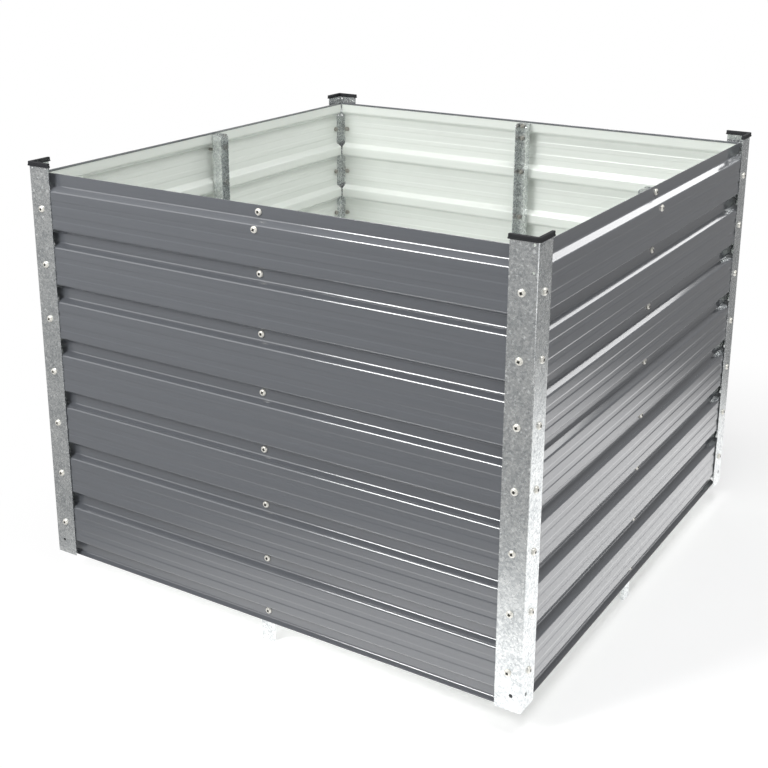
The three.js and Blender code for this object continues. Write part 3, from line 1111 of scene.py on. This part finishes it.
@dataclass
class Post:
    """A corner post of galvanised angle, with the bolts through its two legs."""

    corner: Corner
    finishes: Finishes
    bolts: BoltSet
    levels: Sequence[float]
    low_level_count: int
    half: float  # from the bed's middle to the posts' outer faces
    leg: float = 46.5 * MM
    thickness: float = 1.5 * MM
    bend_radius: float = 3.0 * MM
    bend_steps: int = 6
    bolt_inset: float = 24.4 * MM
    sheet_gap: float = 0.3 * MM
    sheet_thickness: float = 0.6 * MM
    sight_radius: float = 2.2 * MM
    sight_inset: float = 7.5 * MM
    sight_drops: tuple[float, float] = (10.0 * MM, 51.0 * MM)
    peg_radius: float = 3.4 * MM
    peg_inset: float = 18.0 * MM
    peg_rise: float = 27.0 * MM
    hole_steps: int = 24
    drill_length: float = 12.0 * MM
    edge: float = 0.25 * MM
    edge_steps: int = 2
    edge_angle: float = math.radians(50)

    def build(self) -> None:
        """Makes the post and its bolts."""
        node = f"{self.corner.name.lower()}_post"
        low, high = local_box(node, self.corner.value)
        fold = Vector((-self.half, -self.half, low.z))
        ends = [fold + Vector((self.leg, 0, 0)), fold, fold + Vector((0, self.leg, 0))]
        bm = bmesh.new()
        drawn_out(bm, polyline(bm, ends), UP * (high.z - low.z))
        round_bends(bm, [fold], self.bend_radius, UP, self.bend_steps)
        face_outwards(bm, Vector((-1, -1, 0)))
        post = new_object(node + "_angle", bm, [self.finishes.zinc])
        walled(post, self.thickness)
        bored(post, self._holes(fold, high.z))
        edges = post.modifiers.new("worn_edges", "BEVEL")
        edges.width = self.edge
        edges.segments = self.edge_steps
        edges.limit_method = "ANGLE"
        edges.angle_limit = self.edge_angle
        settle(post, self.corner.value, [node])
        self._bolts(fold)

    def _leg_turns(self, fold: Vector) -> list[Matrix]:
        """Finds the turns that take a point of the front leg to either leg.

        Args:
            fold: The lower end of the post's fold.

        Returns:
            No turn, for the front leg, and the mirroring turn to the side leg.
        """
        about = Matrix.Translation(fold)
        swap = Matrix.Rotation(-QUARTER_TURN, 4, "Z") @ Matrix.Scale(-1, 4, (1, 0, 0))
        return [Matrix.Identity(4), about @ swap @ about.inverted()]

    def _holes(self, fold: Vector, top: float) -> bmesh.types.BMesh:
        """Makes cutters for the sight holes and the peg hole of both legs.

        Args:
            fold: The lower end of the post's fold.
            top: The level of the post's top.

        Returns:
            The cutters.
        """
        bm = bmesh.new()
        spots = [(self.sight_inset, top - drop, self.sight_radius) for drop in self.sight_drops]
        spots.append((self.peg_inset, fold.z + self.peg_rise, self.peg_radius))
        for inset, level, radius in spots:
            for turn in self._leg_turns(fold):
                made = bmesh.ops.create_cone(
                    bm,
                    cap_ends=True,
                    segments=self.hole_steps,
                    radius1=radius,
                    radius2=radius,
                    depth=self.drill_length,
                )["verts"]
                lying = Matrix.Rotation(QUARTER_TURN, 3, "X")
                bmesh.ops.rotate(bm, verts=made, cent=(0, 0, 0), matrix=lying)
                bmesh.ops.translate(bm, verts=made, vec=(fold.x + inset, fold.y, level))
                bmesh.ops.transform(bm, verts=made, matrix=turn)
        bmesh.ops.recalc_face_normals(bm, faces=bm.faces)
        return bm

    def _bolts(self, fold: Vector) -> None:
        """Makes the bolts through both legs.

        Args:
            fold: The lower end of the post's fold.
        """
        name = self.corner.name.lower()
        nest = self.sheet_thickness + self.sheet_gap
        for leg, turn in zip(("front", "side"), self._leg_turns(fold)):
            for number, level in enumerate(self.levels, start=1):
                plane = self.thickness + self.sheet_gap + (nest if number <= self.low_level_count else 0)
                nut_depth = plane + self.sheet_thickness + self.sheet_gap
                head_at = Vector((fold.x + self.bolt_inset, fold.y, level))
                bolt = self.bolts.bolt(f"{name}_{leg}_leg_bolt_{number}", head_at, nut_depth, turn)
                if turn.determinant() < 0:
                    bolt.data.flip_normals()
                settle(bolt, self.corner.value)


@dataclass
class Cap:
    """The moulded cap over a post's top edge, with a flared lower lip and a socket for the post."""

    corner: Corner
    finishes: Finishes
    half: float  # from the bed's middle to the posts' outer faces
    leg: float = 46.5 * MM
    post_thickness: float = 1.5 * MM
    fit: float = 0.3 * MM
    wall: float = 1.8 * MM
    lip_height: float = 2.0 * MM
    lip_flare: float = 0.7 * MM
    outer_round: float = 4.5 * MM
    outer_steps: int = 6
    end_round: float = 1.8 * MM
    end_steps: int = 4
    edge: float = 0.7 * MM
    edge_steps: int = 3

    def _outline(self, bm: bmesh.types.BMesh, margin: float, level: float) -> bmesh.types.BMFace:
        """Adds the angle's section, grown by a margin, as one face.

        Args:
            bm: The mesh.
            margin: How far the outline is outside the post's.
            level: The face's level.

        Returns:
            The face.
        """
        low, inner, end = -margin, self.post_thickness + margin, self.leg + margin
        corners = [(low, low), (end, low), (end, inner), (inner, inner), (inner, end), (low, end)]
        return polygon(bm, [Vector((x - self.half, y - self.half, level)) for x, y in corners])

    def build(self) -> bpy.types.Object:
        """Makes the cap.

        Returns:
            The cap.
        """
        node = f"{self.corner.name.lower()}_cap"
        low, high = local_box(node, self.corner.value)
        bm = bmesh.new()
        self._outline(bm, self.fit + self.wall + self.lip_flare, low.z)
        fold = min(bm.verts, key=lambda v: v.co.x + v.co.y)
        tips = [v for v in bm.verts if max(v.co.x, v.co.y) > self.leg - self.half]
        eased(bm, [fold], self.outer_round, self.outer_steps)
        eased(bm, tips, self.end_round, self.end_steps)
        top = raised(bm, bm.faces[:][0], UP * self.lip_height)
        bmesh.ops.recalc_face_normals(bm, faces=bm.faces)
        bmesh.ops.inset_region(bm, faces=[top], thickness=self.lip_flare, use_even_offset=True)
        top = raised(bm, top, UP * (high.z - low.z - self.lip_height))
        eased(bm, top.edges[:], self.edge, self.edge_steps)
        bmesh.ops.recalc_face_normals(bm, faces=bm.faces)
        piece = new_object(node + "_moulding", bm, [self.finishes.plastic])
        socket = bmesh.new()
        mouth = self._outline(socket, self.fit, low.z - self.wall)
        raised(socket, mouth, UP * (high.z - low.z))
        bmesh.ops.recalc_face_normals(socket, faces=socket.faces)
        return settle(bored(piece, socket), self.corner.value, [node])


# ---- stage


@dataclass(frozen=True)
class SoftBox:
    """A rectangular lamp, which shows in reflections and not to the camera."""

    name: str
    at: tuple[float, float, float]
    width: float
    height: float
    watts: float
    roll: float = 0.0  # about the way that it points

    def hang(self, aim: Vector) -> None:
        """Adds the lamp.

        Args:
            aim: The point that it shines at.
        """
        data = bpy.data.lights.new(self.name, "AREA")
        data.shape = "RECTANGLE"
        data.size = self.width
        data.size_y = self.height
        data.energy = self.watts
        lamp = bpy.data.objects.new(self.name, data)
        turn = (aim - Vector(self.at)).to_track_quat("-Z", "Y").to_matrix().to_4x4()
        lamp.matrix_world = Matrix.Translation(self.at) @ turn @ Matrix.Rotation(self.roll, 4, "Z")
        lamp.visible_camera = False
        bpy.context.scene.collection.objects.link(lamp)


@dataclass(frozen=True)
class Studio:
    """A white floor under soft boxes, and a camera where the photograph was taken from."""

    camera_at: tuple[float, float, float] = (1.219, -2.077, 1.266)
    heading: float = math.radians(31.68)
    pitch: float = math.radians(17.09)
    roll: float = math.radians(0.24)
    focal_pixels: float = 1277.8
    sensor_mm: float = 36.0
    frame_shift: float = -0.12
    floor_half: float = 40.0
    floor_white: float = 0.82
    lift: float = 0.32  # added where the camera sees the paper, so that it is white
    gleam: float = 0.75  # added where steel mirrors the paper
    glimpse: float = 0.28  # what steel mirrors of the backdrop beyond the paper
    paper_middle: tuple[float, float, float] = (0.42, 0.12, 0.0)
    paper_near: float = 0.6  # where the paper starts to fade into the backdrop
    paper_far: float = 1.35
    ambient: float = 0.32
    lamps_aim: tuple[float, float, float] = (0.0, 0.0, 0.5)
    lamps: tuple[SoftBox, ...] = (
        SoftBox("front_soft_box", (-0.75, -2.15, 2.0), 0.8, 1.1, 42),  # the front's double lines of light
        SoftBox("left_soft_box", (-1.95, -2.1, 2.0), 2.2, 1.8, 11),  # their faint ends on the left
        SoftBox("back_soft_box", (0.69, 2.1, 1.87), 1.0, 0.5, 5, math.radians(-52)),  # the right's bands
        SoftBox("corner_soft_box", (2.5, -1.3, 0.52), 2.0, 1.0, 9),  # fills in the right side
        SoftBox("top_soft_box", (0.9, -0.3, 3.0), 1.3, 1.3, 40),  # the inner faces and the floor's shadow
    )

    def camera(self) -> None:
        """Makes the camera."""
        data = bpy.data.cameras.new("camera")
        data.sensor_width = self.sensor_mm
        data.lens = self.focal_pixels / FRAME_PIXELS * data.sensor_width
        data.shift_y = self.frame_shift
        camera = bpy.data.objects.new("camera", data)
        turn = Matrix.Rotation(self.heading, 4, "Z") @ Matrix.Rotation(QUARTER_TURN - self.pitch, 4, "X")
        camera.matrix_world = Matrix.Translation(self.camera_at) @ turn @ Matrix.Rotation(self.roll, 4, "Z")
        bpy.context.scene.collection.objects.link(camera)
        bpy.context.scene.camera = camera

    def _rays(self, tree: bpy.types.NodeTree) -> tuple[bpy.types.NodeSocket, bpy.types.NodeSocket]:
        """Tells the camera's rays, and those of reflections and refractions, from the rest.

        Args:
            tree: The nodes of the floor's material or of the world.

        Returns:
            What is 1 for the camera's rays, and what is 1 for the other two.
        """
        ray = add_node(tree, "ShaderNodeLightPath")
        bounced = add_node(
            tree,
            "ShaderNodeMath",
            {0: ray.outputs["Is Glossy Ray"], 1: ray.outputs["Is Transmission Ray"]},
            operation="MAXIMUM",
        )
        return ray.outputs["Is Camera Ray"], bounced.outputs["Value"]

    def _backdrop(self, tree: bpy.types.NodeTree) -> bpy.types.NodeSocket:
        """Finds the far backdrop's strength: white to the camera and dimmer in reflections.

        Args:
            tree: The nodes of the floor's material or of the world.

        Returns:
            The strength.
        """
        camera, bounced = self._rays(tree)
        dimmed = add_node(tree, "ShaderNodeMath", {0: bounced, 1: self.glimpse}, operation="MULTIPLY")
        white = add_node(tree, "ShaderNodeMath", {0: dimmed.outputs["Value"], 1: camera}, operation="MAXIMUM")
        return white.outputs["Value"]

    def floor(self) -> None:
        """Makes the floor, lit near the bed and plain backdrop further out."""
        bm = bmesh.new()
        bmesh.ops.create_grid(bm, x_segments=1, y_segments=1, size=self.floor_half)
        material, tree = new_material("white_floor")
        camera, bounced = self._rays(tree)
        paper = add_node(tree, "ShaderNodeBsdfDiffuse", {"Color": (self.floor_white,) * 3 + (1.0,)})
        lifted = add_node(tree, "ShaderNodeMath", {0: camera, 1: self.lift}, operation="MULTIPLY")
        amount = add_node(
            tree,
            "ShaderNodeMath",
            {0: bounced, 1: self.gleam, 2: lifted.outputs["Value"]},
            operation="MULTIPLY_ADD",
        )
        glow = add_node(tree, "ShaderNodeEmission", {"Strength": amount.outputs["Value"]})
        near = add_node(tree, "ShaderNodeAddShader", {0: paper.outputs["BSDF"], 1: glow.outputs["Emission"]})
        far = add_node(tree, "ShaderNodeEmission", {"Strength": self._backdrop(tree)})
        seen = add_node(tree, "ShaderNodeMath", {0: camera, 1: bounced}, operation="MAXIMUM")
        place = add_node(tree, "ShaderNodeTexCoord").outputs["Object"]
        reach = add_node(
            tree, "ShaderNodeVectorMath", {0: place, 1: self.paper_middle}, operation="DISTANCE"
        )
        fade = add_node(
            tree,
            "ShaderNodeMapRange",
            {"Value": reach.outputs["Value"], "From Min": self.paper_near, "From Max": self.paper_far},
            interpolation_type="SMOOTHSTEP",
        )
        faded = add_node(
            tree,
            "ShaderNodeMath",
            {0: fade.outputs["Result"], 1: seen.outputs["Value"]},
            operation="MULTIPLY",
        )
        both = add_node(
            tree,
            "ShaderNodeMixShader",
            {0: faded.outputs["Value"], 1: near.outputs["Shader"], 2: far.outputs["Emission"]},
        )
        add_node(tree, "ShaderNodeOutputMaterial", {"Surface": both.outputs["Shader"]})
        new_object("floor", bm, [material])

    def world(self) -> None:
        """Makes the surroundings: white where they are seen, softer as light."""
        world = bpy.data.worlds.new("studio")
        world.use_nodes = True
        tree = world.node_tree
        tree.nodes.clear()
        white = self._backdrop(tree)
        strength = add_node(tree, "ShaderNodeMath", {0: white, 1: self.ambient}, operation="MAXIMUM")
        glow = add_node(
            tree, "ShaderNodeBackground", {"Color": (1, 1, 1, 1), "Strength": strength.outputs["Value"]}
        )
        add_node(tree, "ShaderNodeOutputWorld", {"Surface": glow.outputs["Background"]})
        bpy.context.scene.world = world

    def build(self) -> None:
        """Makes the camera, the floor, the surroundings and the lamps."""
        self.camera()
        self.floor()
        self.world()
        for lamp in self.lamps:
            lamp.hang(Vector(self.lamps_aim))


# ---- main


def main() -> None:
    """Builds the bed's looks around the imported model, and the stage."""
    logging.basicConfig(level=logging.INFO, format="%(name)s: %(message)s")
    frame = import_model()
    bpy.context.scene.view_settings.view_transform = "Standard"
    Studio().build()
    finishes = Finishes()
    bolts = BoltSet(finishes)
    for side in Side:
        BedSide(side, finishes, bolts, list(frame["nodes"])).build()
    upper = CorrugatedSheet(Side.FRONT, "front_upper_sheet", True, finishes)
    lower = CorrugatedSheet(Side.FRONT, "front_lower_sheet", False, finishes)
    levels = [upper.pan_level(k - lower.pans) for k in range(lower.pans + upper.pans)]
    half = abs(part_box("front_left_post")[0].x) - bolts.head_height
    for corner in Corner:
        Post(corner, finishes, bolts, levels, lower.pans, half).build()
        Cap(corner, finishes, half).build()


if __name__ == "__main__":
    main()
